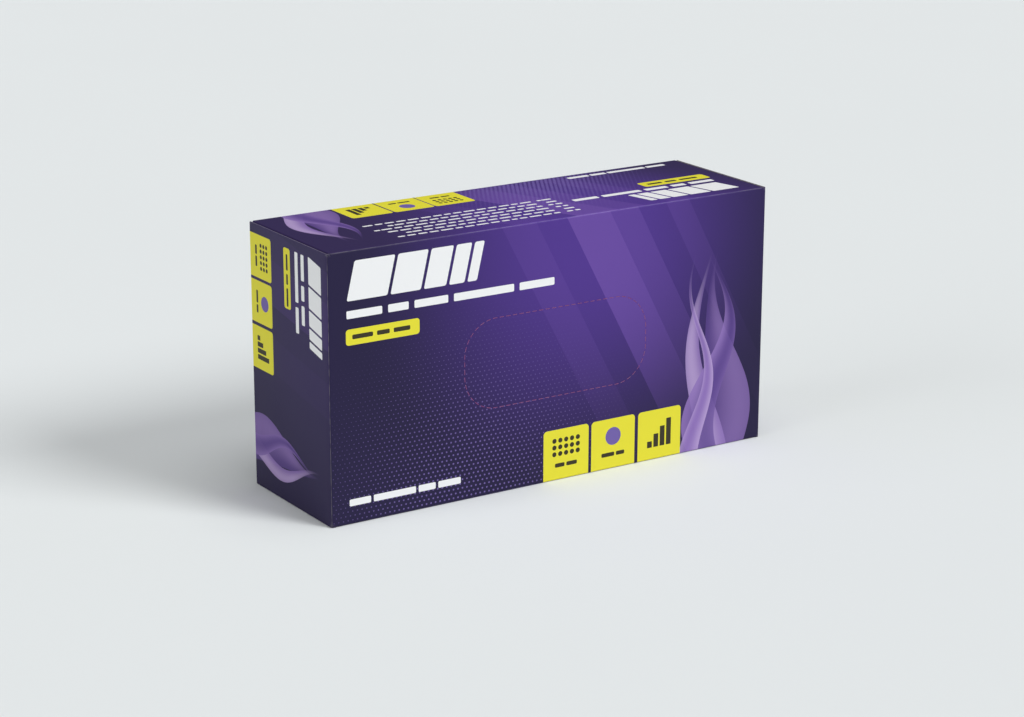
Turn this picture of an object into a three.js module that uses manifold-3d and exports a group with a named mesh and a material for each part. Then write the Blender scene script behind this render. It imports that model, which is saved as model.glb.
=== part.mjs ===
// A sealed folding carton for disposable gloves, cut and folded from thin paperboard.
// Four panels wrap round as an open sleeve, closed along its lower back edge by a glue flap.
// Each end is shut by four flaps glued on each other: two dust flaps from the top and bottom
// panels, then an inner flap from the back panel, then the outer flap from the front panel.
// A rounded panel in the front is cut round its edge but for a ring of small nicks, and is
// torn out to reach the gloves.
//
// Millimetres, +Z up. The origin is the centre of the bottom panel's outer face. The front
// panel faces -Y, and the length runs along X.

import * as THREE from "three";
import { mergeVertices } from "three/addons/utils/BufferGeometryUtils.js";
import Module from "manifold-3d";

const wasm = await Module();
wasm.setup();

// The carton's outside
const cartonLength = 240;
const cartonDepth = 72;
const cartonHeight = 126;

// The board and its folds
const board = 0.5;
const foldInside = 0.4;
const foldSegments = 5;
const layerGap = 0.1;
const creaseGap = 0.15;

// The glue seam along the lower back edge
const glueFlapWidth = 15;
const glueFlapMitre = 5;
const seamEdgeLift = 0.6;

// The tear-out panel, centred on the front panel
const openingWidth = 100.4;
const openingHeight = 42.6;
const openingRadius = 17;
const kerf = 0.4;
const nickPitch = 3.6;
const nickWidth = 1.2;
const nickGap = 0.1;
const cornerSegments = 14;

// The end flaps: how far each stops short of the panel opposite and of the panels beside it
const outerFlapShort = 0.3;
const outerFlapInset = 0.2;
const innerFlapShort = 1;
const innerFlapInset = 0.8;
const dustFlapLength = 36;
const dustFlapInset = 0.6;
const dustFlapTaper = 4;
const dustFlapCorner = 6;
const flapCorner = 0.4;
const flapCornerSegments = 4;

// Worked out from the sizes above
const halfLength = cartonLength / 2;
const halfDepth = cartonDepth / 2;
const middleHeight = cartonHeight / 2;
const layerPitch = board + layerGap;
const buriedLayers = 2;
const foldRadius = foldInside + board;
const sleeveHalf = halfLength - buriedLayers * layerPitch - foldRadius - creaseGap;

const printed = { color: 0x3a3160, roughness: 0.42, metalness: 0 };
const tearOut = { color: 0x4a3a78, roughness: 0.42, metalness: 0 };
const greyback = { color: 0xb9b4a8, roughness: 0.9, metalness: 0 };

// A geometry as a solid that can be joined and cut
function solidOf(geometry) {
  const bare = geometry.clone();
  bare.deleteAttribute("normal");
  bare.deleteAttribute("uv");
  const merged = mergeVertices(bare, 1e-4);
  return new wasm.Manifold(
    new wasm.Mesh({
      numProp: 3,
      vertProperties: Float32Array.from(merged.attributes.position.array),
      triVerts: Uint32Array.from(merged.index.array),
    }),
  );
}

// A solid as a geometry, with its own flat normals
function geometryOf(solid) {
  const mesh = solid.getMesh();
  const geometry = new THREE.BufferGeometry();
  geometry.setAttribute("position", new THREE.BufferAttribute(mesh.vertProperties, 3));
  geometry.setIndex(new THREE.BufferAttribute(mesh.triVerts, 1));
  const flat = geometry.toNonIndexed();
  flat.computeVertexNormals();
  return flat;
}

function piece(name, geometry, look) {
  const mesh = new THREE.Mesh(geometry, new THREE.MeshStandardMaterial(look));
  mesh.name = name;
  return mesh;
}

// Points round a fold's arc, from one angle to another
function arc(x, y, radius, from, to, segments = foldSegments) {
  const points = [];
  for (let i = 0; i <= segments; i++) {
    const angle = from + ((to - from) * i) / segments;
    points.push(new THREE.Vector2(x + radius * Math.cos(angle), y + radius * Math.sin(angle)));
  }
  return points;
}

// An outline drawn in the YZ plane, made a solid that runs from x = -half to x = half
function alongLength(outline, half) {
  const geometry = new THREE.ExtrudeGeometry(new THREE.Shape(outline), {
    depth: 2 * half,
    bevelEnabled: false,
  });
  const axes = new THREE.Matrix4().makeBasis(
    new THREE.Vector3(0, 1, 0),
    new THREE.Vector3(0, 0, 1),
    new THREE.Vector3(1, 0, 0),
  );
  return geometry.applyMatrix4(axes.setPosition(-half, 0, 0));
}

// An outline drawn in the XZ plane, made a solid between two depths
function throughDepth(outline, fromY, toY) {
  const geometry = new THREE.ExtrudeGeometry(new THREE.Shape(outline), {
    depth: toY - fromY,
    bevelEnabled: false,
  });
  const axes = new THREE.Matrix4().makeBasis(
    new THREE.Vector3(1, 0, 0),
    new THREE.Vector3(0, 0, 1),
    new THREE.Vector3(0, -1, 0),
  );
  return geometry.applyMatrix4(axes.setPosition(0, toY, 0));
}

// The sleeve's strip of board in section: up the back, over the top, down the front, along
// the bottom, and up inside the back panel as the glue flap
function sleeveSection() {
  const quarter = Math.PI / 2;
  const top = cartonHeight - foldRadius;
  const side = halfDepth - foldRadius;
  const seamFold = halfDepth - layerPitch - foldRadius;
  const flapOuter = halfDepth - layerPitch;
  const flapInner = flapOuter - board;
  const outside = [
    new THREE.Vector2(halfDepth, seamEdgeLift),
    ...arc(side, top, foldRadius, 0, quarter),
    ...arc(-side, top, foldRadius, quarter, 2 * quarter),
    ...arc(-side, foldRadius, foldRadius, 2 * quarter, 3 * quarter),
    ...arc(seamFold, foldRadius, foldRadius, 3 * quarter, 4 * quarter),
    new THREE.Vector2(flapOuter, glueFlapWidth),
  ];
  const inside = [
    new THREE.Vector2(flapInner, glueFlapWidth),
    ...arc(seamFold, foldRadius, foldInside, 4 * quarter, 3 * quarter),
    ...arc(-side, foldRadius, foldInside, 3 * quarter, 2 * quarter),
    ...arc(-side, top, foldInside, 2 * quarter, quarter),
    ...arc(side, top, foldInside, quarter, 0),
    new THREE.Vector2(halfDepth - board, seamEdgeLift),
  ];
  return [...outside, ...inside];
}

// A point on a rounded rectangle about the front panel's middle, and the way out of it there.
// The way along is measured from the middle of the top edge, clockwise seen from the front.
function roundedRing(width, height, radius) {
  const flatX = width / 2 - radius;
  const flatZ = height / 2 - radius;
  const bend = (Math.PI / 2) * radius;
  const stretches = [
    { run: flatX, cornerX: flatX, cornerZ: flatZ, outAngle: Math.PI / 2 },
    { run: 2 * flatZ, cornerX: flatX, cornerZ: -flatZ, outAngle: 0 },
    { run: 2 * flatX, cornerX: -flatX, cornerZ: -flatZ, outAngle: -Math.PI / 2 },
    { run: 2 * flatZ, cornerX: -flatX, cornerZ: flatZ, outAngle: -Math.PI },
    { run: flatX, cornerX: 0, cornerZ: flatZ, outAngle: Math.PI / 2 },
  ];
  const around = 4 * flatX + 4 * flatZ + 4 * bend;
  function at(distance) {
    let left = distance % around;
    for (const { run, cornerX, cornerZ, outAngle } of stretches) {
      const short = Math.max(run - left, 0);
      const angle = outAngle - Math.max(left - run, 0) / radius;
      const outX = Math.cos(angle);
      const outZ = Math.sin(angle);
      if (left <= run + bend) {
        const x = cornerX + radius * outX - short * Math.sin(outAngle);
        const z = cornerZ + radius * outZ + short * Math.cos(outAngle);
        return { x, z, outX, outZ };
      }
      left -= run + bend;
    }
    throw new Error("past the end of the ring");
  }
  return { around, at };
}

const ring = roundedRing(openingWidth, openingHeight, openingRadius);

// A point of the ring, moved out of it by an amount, at its place on the front panel
function onFront(distance, out) {
  const p = ring.at(distance);
  return new THREE.Vector2(p.x + p.outX * out, middleHeight + p.z + p.outZ * out);
}

// The opening's outline: the ring, half a kerf further out
function openingOutline() {
  const steps = 4 * cornerSegments * 2;
  const points = [];
  for (let i = 0; i < steps; i++) {
    points.push(onFront((ring.around * i) / steps, kerf / 2));
  }
  return points.reverse();
}

// The tear-out panel's outline: half a kerf inside the ring, with a nick at each pitch that
// crosses the kerf
function dispensingOutline() {
  const nicksPerQuarter = Math.max(1, Math.round(ring.around / 4 / nickPitch));
  const nicks = 4 * nicksPerQuarter;
  const pitch = ring.around / nicks;
  const half = Math.min(nickWidth, pitch / 2) / 2;
  const inner = -kerf / 2;
  const tip = kerf / 2 - nickGap;
  const points = [];
  for (let i = 0; i < nicks; i++) {
    const middle = pitch * i;
    points.push(onFront(middle + half, tip));
    points.push(onFront(middle + half, inner));
    points.push(onFront(middle + pitch / 2, inner));
    points.push(onFront(middle + pitch - half, inner));
    points.push(onFront(middle + pitch - half, tip));
  }
  return points.reverse();
}

// The sleeve: its section along the length, with the opening cut through the front panel and
// both ends of the glue flap mitred
function makeSleeve() {
  const section = solidOf(alongLength(sleeveSection(), sleeveHalf));
  const cutFrom = -halfDepth - board;
  const cutTo = -halfDepth + 2 * board;
  let sleeve = section.subtract(solidOf(throughDepth(openingOutline(), cutFrom, cutTo)));
  for (const side of [-1, 1]) {
    const wedge = [
      new THREE.Vector2(side * (sleeveHalf + board), foldRadius),
      new THREE.Vector2(side * sleeveHalf, foldRadius),
      new THREE.Vector2(side * (sleeveHalf - glueFlapMitre), glueFlapWidth),
      new THREE.Vector2(side * (sleeveHalf - glueFlapMitre), glueFlapWidth + board),
      new THREE.Vector2(side * (sleeveHalf + board), glueFlapWidth + board),
    ];
    const layerFrom = halfDepth - board - layerGap / 2 - 2 * board;
    const layerTo = halfDepth - board - layerGap / 2;
    const cutter = throughDepth(side > 0 ? wedge.reverse() : wedge, layerFrom, layerTo);
    sleeve = sleeve.subtract(solidOf(cutter));
  }
  return piece("sleeve", geometryOf(sleeve), printed);
}

function makeDispensingPanel() {
  const outline = dispensingOutline();
  return piece("dispensing_panel", throughDepth(outline, -halfDepth, -halfDepth + board), tearOut);
}

// A flap in its own frame: its hinge runs along X, the sleeve's end is at Y 0, the panel that it
// hangs from faces +Z, and the flap hangs down. The layer counts inwards from the carton's end.
function flapSection(layer, length) {
  const quarter = Math.PI / 2;
  const bendStart = creaseGap + (buriedLayers - layer) * layerPitch;
  const face = bendStart + foldRadius;
  const points = [
    new THREE.Vector2(creaseGap, 0),
    ...arc(bendStart, -foldRadius, foldRadius, quarter, 0),
    new THREE.Vector2(face, -length),
    new THREE.Vector2(face - board, -length),
    ...arc(bendStart, -foldRadius, foldInside, 0, quarter),
    new THREE.Vector2(creaseGap, -board),
  ];
  return points.filter((p, i) => i === 0 || p.distanceTo(points[i - 1]) > 1e-6);
}

// The flap's outline seen from the carton's end: full width at the hinge, narrower by the taper
// on each side at the free edge, whose two corners are rounded
function flapOutline(width, length, taper, corner) {
  const half = width / 2;
  const tip = half - taper;
  const lean = Math.atan2(taper, length);
  const inset = corner * Math.tan((Math.PI / 2 - lean) / 2);
  const right = [
    ...arc(tip - inset, corner - length, corner, -Math.PI / 2, -lean, flapCornerSegments),
    new THREE.Vector2(half, 0),
    new THREE.Vector2(half, board),
  ];
  const left = right.map((p) => new THREE.Vector2(-p.x, p.y)).reverse();
  return [...left, ...right];
}

function flapGeometry(layer, width, length, taper, corner) {
  const strip = new THREE.ExtrudeGeometry(new THREE.Shape(flapSection(layer, length)), {
    depth: width + 2 * board,
    bevelEnabled: false,
  });
  const alongHinge = new THREE.Matrix4().makeBasis(
    new THREE.Vector3(0, 1, 0),
    new THREE.Vector3(0, 0, 1),
    new THREE.Vector3(1, 0, 0),
  );
  strip.applyMatrix4(alongHinge.setPosition(-width / 2 - board, 0, 0));
  const reach = halfLength - sleeveHalf + board;
  const outline = throughDepth(flapOutline(width, length, taper, corner), -board, reach);
  return geometryOf(solidOf(strip).intersect(solidOf(outline)));
}

// A flap's mesh turned and placed: along is the way out of the carton's end, up is the way that
// its parent panel faces, and hinge is the middle of that panel's end
function placedFlap(name, geometry, along, up, hinge, look) {
  const across = new THREE.Vector3().crossVectors(along, up);
  const frame = new THREE.Matrix4().makeBasis(across, along, up).setPosition(hinge);
  const mesh = piece(name, geometry, look);
  mesh.applyMatrix4(frame);
  return mesh;
}

// One end's four flaps, each hung on its own panel, from the outermost layer inwards
function makeEnd(side, end) {
  const along = new THREE.Vector3(end, 0, 0);
  const outer = flapGeometry(
    0,
    cartonHeight - 2 * outerFlapInset,
    cartonDepth - outerFlapShort,
    0,
    flapCorner,
  );
  const inner = flapGeometry(
    1,
    cartonHeight - 2 * innerFlapInset,
    cartonDepth - innerFlapShort,
    0,
    flapCorner,
  );
  const dust = flapGeometry(
    buriedLayers,
    cartonDepth - 2 * dustFlapInset,
    dustFlapLength,
    dustFlapTaper,
    dustFlapCorner,
  );
  const flaps = [
    { name: "outer_flap", geometry: outer, up: [0, -1, 0], look: printed },
    { name: "inner_flap", geometry: inner, up: [0, 1, 0], look: greyback },
    { name: "top_dust_flap", geometry: dust, up: [0, 0, 1], look: greyback },
    { name: "bottom_dust_flap", geometry: dust.clone(), up: [0, 0, -1], look: greyback },
  ];
  const group = new THREE.Group();
  for (const { name, geometry, up, look } of flaps) {
    const facing = new THREE.Vector3(...up);
    const hinge = new THREE.Vector3(
      end * sleeveHalf,
      facing.y * halfDepth,
      middleHeight + facing.z * middleHeight,
    );
    group.add(placedFlap(`${side}_${name}`, geometry, along, facing, hinge, look));
  }
  return group;
}

const carton = new THREE.Group();
carton.add(makeSleeve(), makeDispensingPanel(), makeEnd("left", -1), makeEnd("right", 1));

export default carton;
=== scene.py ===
import math
from collections import namedtuple

import bmesh
import bpy
from bpy.props import FloatProperty, FloatVectorProperty, IntProperty, PointerProperty
from bpy.types import Operator, Panel, PropertyGroup
from mathutils import Euler, Matrix, Vector


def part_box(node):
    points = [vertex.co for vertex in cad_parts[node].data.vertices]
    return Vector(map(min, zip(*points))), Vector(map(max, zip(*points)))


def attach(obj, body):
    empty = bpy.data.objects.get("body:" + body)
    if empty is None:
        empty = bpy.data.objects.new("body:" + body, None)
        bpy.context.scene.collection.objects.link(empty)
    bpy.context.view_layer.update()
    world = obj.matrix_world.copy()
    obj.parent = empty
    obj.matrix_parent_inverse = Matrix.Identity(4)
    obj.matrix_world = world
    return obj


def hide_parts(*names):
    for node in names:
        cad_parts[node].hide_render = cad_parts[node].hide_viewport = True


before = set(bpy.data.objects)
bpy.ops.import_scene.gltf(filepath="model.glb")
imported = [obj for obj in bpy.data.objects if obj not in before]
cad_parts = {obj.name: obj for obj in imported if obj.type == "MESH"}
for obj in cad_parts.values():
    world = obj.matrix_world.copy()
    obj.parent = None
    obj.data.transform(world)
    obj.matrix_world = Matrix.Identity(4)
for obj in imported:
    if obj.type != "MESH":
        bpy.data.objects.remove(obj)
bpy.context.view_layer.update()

bl_info = {
    "name": "Glove dispenser carton",
    "version": (1, 0, 0),
    "blender": (4, 5, 0),
    "location": "3D View > Sidebar > Carton",
    "description": "A sealed, printed folding-board carton with a perforated tear-out panel",
    "category": "Add Mesh",
}

MM = 0.001

# The carton's outside and its board, read from the solids
HALF_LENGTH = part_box("right_outer_flap")[1].x
HALF_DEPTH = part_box("sleeve")[1].y
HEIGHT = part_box("sleeve")[1].z
SLEEVE_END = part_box("sleeve")[1].x
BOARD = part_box("dispensing_panel")[1].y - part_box("dispensing_panel")[0].y
LAYER_PITCH = HALF_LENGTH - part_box("right_inner_flap")[1].x
CREASE_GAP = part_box("right_outer_flap")[0].x - SLEEVE_END
FOLD_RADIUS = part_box("right_top_dust_flap")[1].x - SLEEVE_END - CREASE_GAP

# The layers of board under an outer flap: the inner flap, then the dust flaps
BURIED_LAYERS = 2

LENGTH_MM = 2 * HALF_LENGTH / MM
DEPTH_MM = 2 * HALF_DEPTH / MM
HEIGHT_MM = HEIGHT / MM


def display(red, green, blue):
    """A colour named by its display values from 0 to 255, as the linear numbers that shaders take."""
    shares = [value / 255 for value in (red, green, blue)]
    return tuple(s / 12.92 if s <= 0.04045 else ((s + 0.055) / 1.055) ** 2.4 for s in shares)


def opaque(colour):
    """A colour with full cover, unless nodes work it out."""
    return colour if isinstance(colour, Reading) else (*colour, 1.0)


# Shader nodes written as expressions


class Reading:
    """A socket of a node tree that takes part in arithmetic."""

    def __init__(self, nodes, socket):
        self.nodes = nodes
        self.socket = socket

    def math(self, operation, *others):
        return self.nodes.math(operation, self, *others)

    def __add__(self, other):
        return self.math("ADD", other)

    def __mul__(self, other):
        return self.math("MULTIPLY", other)

    __radd__ = __add__
    __rmul__ = __mul__

    def __sub__(self, other):
        return self.math("SUBTRACT", other)

    def __rsub__(self, other):
        return self.nodes.math("SUBTRACT", other, self)

    def __truediv__(self, other):
        return self.math("DIVIDE", other)

    def __rtruediv__(self, other):
        return self.nodes.math("DIVIDE", other, self)

    def __lt__(self, other):
        return self.math("LESS_THAN", other)

    def __gt__(self, other):
        return self.math("GREATER_THAN", other)

    def __abs__(self):
        return self.math("ABSOLUTE")

    def least(self, other):
        return self.math("MINIMUM", other)

    def most(self, other):
        return self.math("MAXIMUM", other)

    def near(self, centre, reach):
        """1 where the reading lies within reach of the centre, and 0 elsewhere."""
        return self.math("COMPARE", centre, reach)

    def between(self, low, high):
        return self.near((low + high) / 2, (high - low) / 2)

    def ease(self, start, end, low=0.0, high=1.0):
        """A smooth step from low at start to high at end."""
        settings = {"interpolation_type": "SMOOTHSTEP"}
        return self.nodes.node("ShaderNodeMapRange", settings, [self, start, end, low, high])


class Nodes:
    """A node tree, with the one method that adds a node to it."""

    def __init__(self, tree):
        self.tree = tree
        tree.nodes.clear()

    def node(self, kind, settings=None, inputs=(), output=0):
        """Adds a node, makes its settings, then fills its inputs, which are named or in order."""
        made = self.tree.nodes.new(kind)
        for name, value in (settings or {}).items():
            if name == "stops":
                self.set_stops(made.color_ramp, value)
            elif name == "interpolation":
                made.color_ramp.interpolation = value
            else:
                setattr(made, name, value)
        for key, value in inputs.items() if isinstance(inputs, dict) else enumerate(inputs):
            if isinstance(value, Reading):
                self.tree.links.new(value.socket, made.inputs[key])
            elif value is not None:
                made.inputs[key].default_value = value
        return Reading(self, made.outputs[output]) if made.outputs else None

    @staticmethod
    def set_stops(ramp, stops):
        while len(ramp.elements) < len(stops):
            ramp.elements.new(1.0)
        for element, (place, value) in zip(ramp.elements, stops):
            element.position = place
            element.color = (value, value, value, 1.0)

    def math(self, operation, *inputs):
        return self.node("ShaderNodeMath", {"operation": operation}, inputs)

    def vector(self, operation, *inputs, output=0):
        return self.node("ShaderNodeVectorMath", {"operation": operation}, inputs, output)


class Ink(Nodes):
    """The nodes of one material."""

    def __init__(self, name):
        self.material = bpy.data.materials.new(name)
        self.material.use_nodes = True
        super().__init__(self.material.node_tree)

    def mix(self, share, under, over):
        """A colour laid over another by a share from 0 to 1."""
        inputs = {0: share, 6: opaque(under), 7: opaque(over)}
        return self.node("ShaderNodeMix", {"data_type": "RGBA"}, inputs, 2)

    def point(self, u, v):
        return self.node("ShaderNodeCombineXYZ", {}, [u, v, 0.0])

    def noise(self, place, scale, detail=2.0):
        return self.node("ShaderNodeTexNoise", {}, {"Vector": place, "Scale": scale, "Detail": detail})

    def object_place(self):
        return self.node("ShaderNodeTexCoord", {}, (), "Object")

    def sides(self, place):
        """The three numbers of a place, in millimetres."""
        split = self.node("ShaderNodeSeparateXYZ", {}, [place])
        return [Reading(self, output) * (1 / MM) for output in split.socket.node.outputs]

    def bump(self, height, strength):
        inputs = {"Strength": strength, "Distance": 1.0, "Height": height}
        return self.node("ShaderNodeBump", {}, inputs)

    def finish(self, colour, roughness, normal, gloss):
        """The material itself, once its colour, roughness and relief are worked out."""
        inputs = {
            "Base Color": colour, "Roughness": roughness, "Normal": normal, "Specular IOR Level": gloss}
        shader = self.node("ShaderNodeBsdfPrincipled", {}, inputs)
        self.node("ShaderNodeOutputMaterial", {}, {"Surface": shader})
        return self.material


# Shapes of the print, in millimetres on a panel


class Sheet:
    """The print of one panel: u and v in millimetres along it, and the colour laid down so far."""

    def __init__(self, name, inks, axes):
        """The axes give u and v from the three numbers of a place on the carton."""
        self.ink = Ink(name)
        self.inks = inks
        self.place = self.ink.object_place()
        self.u, self.v = axes(*self.ink.sides(self.place))
        self.p = self.ink.point(self.u, self.v)
        self.colour = inks.ground

    def lay(self, share, colour):
        self.colour = self.ink.mix(share, self.colour, colour)

    def away_from(self, u, v):
        return self.ink.vector("DISTANCE", self.p, (u, v, 0), output=1)

    def rounded(self, left, right, low, high, radius):
        """The inside of an upright rectangle with rounded corners."""
        centre = ((left + right) / 2, (low + high) / 2, 0)
        core = ((right - left) / 2 - radius, (high - low) / 2 - radius, 0)
        away = self.ink.vector("ABSOLUTE", self.ink.vector("SUBTRACT", self.p, centre))
        past = self.ink.vector("MAXIMUM", self.ink.vector("SUBTRACT", away, core), (0, 0, 0))
        return self.ink.vector("LENGTH", past, output=1) < radius


def bar(ink, past_along, past_across, radius):
    """The inside of a bar with rounded corners, from how far a place lies past the starts of them."""
    corner = ink.vector("MAXIMUM", ink.point(past_along, past_across), (0, 0, 0))
    return ink.vector("LENGTH", corner, output=1) < radius


def words(ink, along, across, start, lengths, gap, low, high, radius=0.6):
    """A line of plain rounded bars as long as words, from start, between low and high across it."""
    nearest = None
    place = start
    for length in lengths:
        past = abs(along - (place + length / 2)) - (length / 2 - radius)
        nearest = past if nearest is None else nearest.least(past)
        place += length + gap
    return bar(ink, nearest, abs(across - (low + high) / 2) - ((high - low) / 2 - radius), radius)


def slab_row(ink, along, across, start, lengths, gap, low, high):
    """A heading of broad slabs that lean forwards and grow narrower."""
    lean = (across - low) * 0.24
    return words(ink, along - lean, across, start, lengths, gap, low, high, 0.05 * (high - low))


def paragraph(ink, along, across, start, end, ragged, low, pitch, lines, stroke, mean):
    """Lines of rounded bars as uneven as words, about the mean long, with a ragged end."""
    radius = 0.4 * stroke
    gap = 0.8 * stroke
    shortest = 0.4 * mean
    row_offset = 17.3
    rise = (across - low) / pitch
    row = rise.math("FLOOR")
    place = along / mean + row * row_offset
    settings = {"voronoi_dimensions": "1D", "feature": "DISTANCE_TO_EDGE"}
    edge = ink.node("ShaderNodeTexVoronoi", settings, {"W": place, "Scale": 1.0, "Randomness": 0.7})
    row_end = ink.node("ShaderNodeTexWhiteNoise", {"noise_dimensions": "1D"}, {"W": row + start})
    left = (end - radius) - row_end * ragged - along
    past_along = (gap / 2 + radius) - edge * mean
    for run in (along - start, left + radius):
        past_along = past_along.least(run - shortest)
    past_along = past_along.most((start + radius) - along).most(0.0 - left)
    past_across = abs(rise - row - 0.5) * pitch - (stroke / 2 - radius)
    in_lines = across.between(low, low + pitch * lines)
    return bar(ink, past_along, past_across, radius) * in_lines


def dots(sheet, pitch, radius):
    """Round dots on a lattice of equal triangles, with a radius that may vary."""
    row_pitch = pitch * math.sqrt(3)
    masks = []
    for shift in (0.0, 0.5):
        u = ((sheet.u / pitch + shift).math("FRACT") - 0.5) * pitch
        v = ((sheet.v / row_pitch + shift).math("FRACT") - 0.5) * row_pitch
        masks.append(sheet.ink.vector("LENGTH", sheet.ink.point(u, v), output=1) < radius)
    return masks[0].most(masks[1])


# A ribbon's centre line, half width and sway in millimetres, its turns, their phase, and its strength
Ribbon = namedtuple("Ribbon", "centre half sway turns phase share")


def ribbons(sheet, across, along, film, root, tip):
    """Overlapping ribbons of thin film that wave along a panel, narrow and fade out towards a tip."""
    inks = sheet.inks
    tones = ((inks.film_dark, inks.film_mid), (inks.film_mid, inks.film_light))
    fade = along.ease(root + 0.5 * (tip - root), tip, 1.0, 0.0)
    taper = along.ease(root, tip, 1.0, 0.04)
    for i, ribbon in enumerate(film):
        shade, light = tones[i % 2]
        bend = (along * ribbon.turns + ribbon.phase).math("SINE")
        swelling = (along * ribbon.turns * 0.61 + ribbon.phase * 1.7).math("SINE")
        half = (swelling * (ribbon.half * 0.3) + ribbon.half) * taper
        side = (across - ribbon.centre - bend * ribbon.sway) / half
        glow = ((side * 2.1 + ribbon.phase).math("SINE") + 1.0) * 0.5
        tone = sheet.ink.mix(glow, shade, light)
        sheet.lay(side.near(0.0, 1.0) * fade * ribbon.share, tone)


# Where the light bands start across the ground, from 0 to 1 of their span, and how strong each is
BANDS = [
    (0.0, 0.0), (0.30, 0.25), (0.38, 0.0), (0.455, 0.9), (0.56, 0.45), (0.63, 0.0), (0.70, 0.3), (0.76, 0.0),
]
BAND_SPAN = 200.0


def ground(sheet, glow_u, glow_v, inner, outer, slant, share=1.0, painted_light_lift=0.0):
    """The dark ground, with a violet glow and broad slanting bands over it, first lightened evenly where
    asked, which is painted light: a painted sheen on the top, and a painted lightening of the ends' shade.
    """
    inks = sheet.inks
    slant = math.radians(slant)
    # Painted light: an even share of light violet over the ground.
    if painted_light_lift:
        sheet.lay(painted_light_lift, inks.violet_light)
    glow = sheet.away_from(glow_u, glow_v).ease(inner, outer, share, 0.0)
    sheet.lay(glow, inks.violet)
    across = (sheet.u - glow_u) * math.cos(slant) + (sheet.v - glow_v) * math.sin(slant)
    ramp = {"stops": BANDS, "interpolation": "CONSTANT"}
    bands = sheet.ink.node("ShaderNodeValToRGB", ramp, [across / BAND_SPAN + 0.5])
    sheet.lay(bands * (glow * 0.8 + 0.06), inks.violet_light)


def dot_field(sheet, centre_u, centre_v, reach, largest=0.44):
    """Small dots on the ground that shrink and fade away from the middle of the field."""
    pitch = 2.4
    smallest = 0.14
    fade = sheet.away_from(centre_u, centre_v).ease(reach * 0.1, reach, 1, 0)
    size = fade * (largest - smallest) + smallest
    sheet.lay(dots(sheet, pitch, size) * (fade * 0.75), sheet.inks.dot)


def tile_marks(sheet, along, across, tiles, size):
    """Marks inside three tiles of a size: rows of dots over a bar, a disc over a bar, and rising bars.

    They are drawn for a tile 25 high, with u from its middle and up from the panel's edge."""
    ink = sheet.ink
    inks = sheet.inks
    scale = size / 25
    middle = 16.2
    low, high = 6.3, 8.3
    pitch = 3.3
    up = across / scale

    def centred(tile):
        return (along - (tile[0] + tile[1]) / 2) / scale

    u = centred(tiles[0])
    dot_u = (u / pitch + 0.5).math("FRACT") - 0.5
    dot_v = ((up - middle) / pitch + 0.5).math("FRACT") - 0.5
    dot = ink.vector("LENGTH", ink.point(dot_u, dot_v), output=1) < 0.36
    field = u.near(0.0, 2.5 * pitch) * up.near(middle, 1.5 * pitch)
    sheet.lay(dot * field, inks.mark)
    sheet.lay(words(ink, u, up, -6.2, (5.4, 6.0), 1.0, low, high), inks.mark)
    u = centred(tiles[1])
    disc = ink.vector("DISTANCE", ink.point(u, up), (0, middle, 0), output=1) < 4.4
    sheet.lay(disc, inks.disc)
    sheet.lay(words(ink, u, up, -6.6, (7.4, 4.8), 1.0, low, high), inks.mark)
    u = centred(tiles[2])
    for step in range(4):
        start = -7.0 + step * 3.7
        rising = u.between(start, start + 2.8) * up.between(low, 9.5 + step * 3.4)
        sheet.lay(rising, inks.mark)


def perforation_marks(sheet, opening):
    """Short printed dashes that follow the cuts round the tear-out panel."""
    radius = opening.radius / MM
    core_u = opening.width / MM / 2 - radius
    core_v = opening.height / MM / 2 - radius
    away_u = abs(sheet.u - LENGTH_MM / 2)
    away_v = abs(sheet.v - HEIGHT_MM / 2)
    past_u = (away_u - core_u).most(0.0)
    past_v = (away_v - core_v).most(0.0)
    off = abs(sheet.ink.vector("LENGTH", sheet.ink.point(past_u, past_v), output=1) - radius)
    turned = past_u.math("ARCTAN2", past_v) * radius
    along = away_u.least(core_u) + turned + (core_v - away_v.least(core_v))
    pitch = nick_pitch(opening) / MM
    in_dash = (along / pitch).math("FRACT").near(0.5, opening.dash / opening.pitch / 2)
    return in_dash * (off < opening.dash_width / MM / 2)


# Finishes, with the scales of their grain

COARSE_MOTTLE = 26.0
BOARD_WAVES = 160.0
CRACK_LENGTHS = 300.0
BARE_BOARD = 900.0
INK_GRAIN = 2600.0
COATED_FIBRES = 700.0
REVERSE_FIBRES = 500.0
EDGE_FIBRES = 1800.0


def crazed_and_highlit_folds(ink, place):
    """Where the coating is crazed along the outside of a fold, from 0 to 1: pale cracks of bare board along
    the folds, which also serve as a painted highlight on each fold, and rubbed corners.
    """
    x, y, z = ink.sides(place)
    radius = FOLD_RADIUS / MM
    in_x = abs(x) - (LENGTH_MM / 2 - radius)
    in_y = abs(y) - (DEPTH_MM / 2 - radius)
    in_z = abs(z - HEIGHT_MM / 2) - (HEIGHT_MM / 2 - radius)
    full, gone = 0.12, 0.3
    corner = (-1.2, 0.2)
    lines = None
    for one, other, share in ((in_y, in_z, 0.8), (in_x, in_y, 1.0)):
        near = abs(one - other).ease(full, gone, share, 0.0) * (one > 0.0) * (other > 0.0)
        lines = near if lines is None else lines.most(near)
    uneven = ink.noise(place, CRACK_LENGTHS, 3.0).ease(0.36, 0.62, 0.35, 1.0)
    near_corner = in_x.ease(*corner) * in_y.ease(*corner) * in_z.ease(*corner)
    rubbed = near_corner * ink.noise(place, INK_GRAIN, 3.0).ease(0.42, 0.62)
    return (lines * uneven).most(rubbed)


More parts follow.
